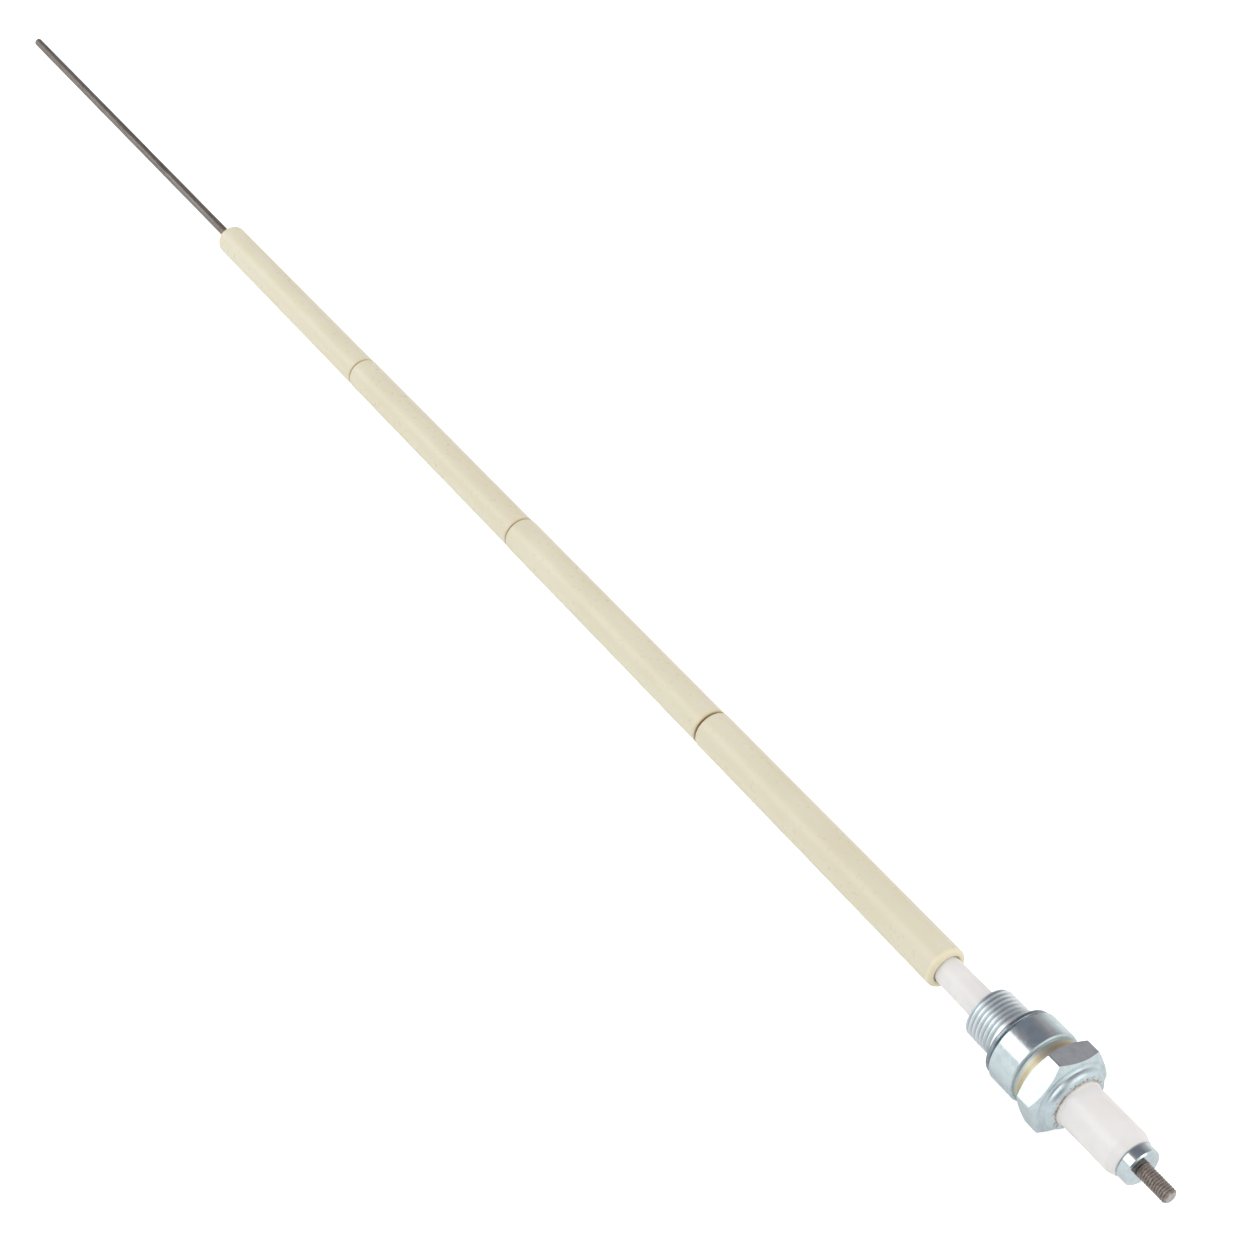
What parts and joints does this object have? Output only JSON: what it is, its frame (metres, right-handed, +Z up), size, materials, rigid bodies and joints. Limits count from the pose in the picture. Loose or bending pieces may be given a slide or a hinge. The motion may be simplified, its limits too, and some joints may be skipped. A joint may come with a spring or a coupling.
{
  "type": "flame sensor probe",
  "caption": "Long flame sensing electrode: a threaded steel housing with a ceramic insulator and terminal stud, and a heat-resistant rod in ceramic bead tubes.",
  "frame": {"origin": "centre of the sealing face, where the captive gasket meets the burner wall", "axes": "+X along the probe's axis, from the flame end to the terminal stud; Y and Z across it, with +Z up as the probe lies"},
  "size_m": [0.662, 0.0234, 0.0226],
  "materials": {
    "plated_steel": "bright zinc plate with a straw heat tint in the shrink groove",
    "gasket_steel": "plated sheet steel",
    "nut_plate": "bright zinc plate",
    "glazed_alumina": "clear glaze on white alumina",
    "bead_ceramic": "unglazed cream steatite, smooth",
    "rod_alloy": "drawn heat-resistant wire with a dark oxide",
    "stud_steel": "dark oiled steel",
    "seal_copper": "soft metal washer",
    "seal_wire": "soft steel wire",
    "seal_glass": "metal-filled glass"
  },
  "bodies": {
    "housing": {"shell": "plated_steel", "insulator": "glazed_alumina", "terminal_nut": "nut_plate", "terminal_stud": "stud_steel", "electrode_rod": "rod_alloy", "lower_seal_ring": "seal_copper", "upper_seal_ring": "seal_wire", "glass_seal": "seal_glass"},
    "gasket": {"gasket_ring": "gasket_steel"},
    "bead_1_tube": {"bead_1": "bead_ceramic"},
    "bead_2_tube": {"bead_2": "bead_ceramic"},
    "bead_3_tube": {"bead_3": "bead_ceramic"},
    "bead_4_tube": {"bead_4": "bead_ceramic"}
  },
  "joints": [
    {"name": "gasket_spin", "type": "hinge", "parent": "housing", "child": "gasket", "pos_m": [0.00065, 0, 0], "axis": [1, 0, 0], "continuous": true},
    {"name": "bead_1_spin", "type": "hinge", "parent": "housing", "child": "bead_1_tube", "pos_m": [-0.3765, 0, 0], "axis": [1, 0, 0], "continuous": true},
    {"name": "bead_2_spin", "type": "hinge", "parent": "housing", "child": "bead_2_tube", "pos_m": [-0.27635, 0, 0], "axis": [1, 0, 0], "continuous": true},
    {"name": "bead_3_spin", "type": "hinge", "parent": "housing", "child": "bead_3_tube", "pos_m": [-0.1762, 0, 0], "axis": [1, 0, 0], "continuous": true},
    {"name": "bead_4_spin", "type": "hinge", "parent": "housing", "child": "bead_4_tube", "pos_m": [-0.0757, 0, 0], "axis": [1, 0, 0], "continuous": true}
  ]
}
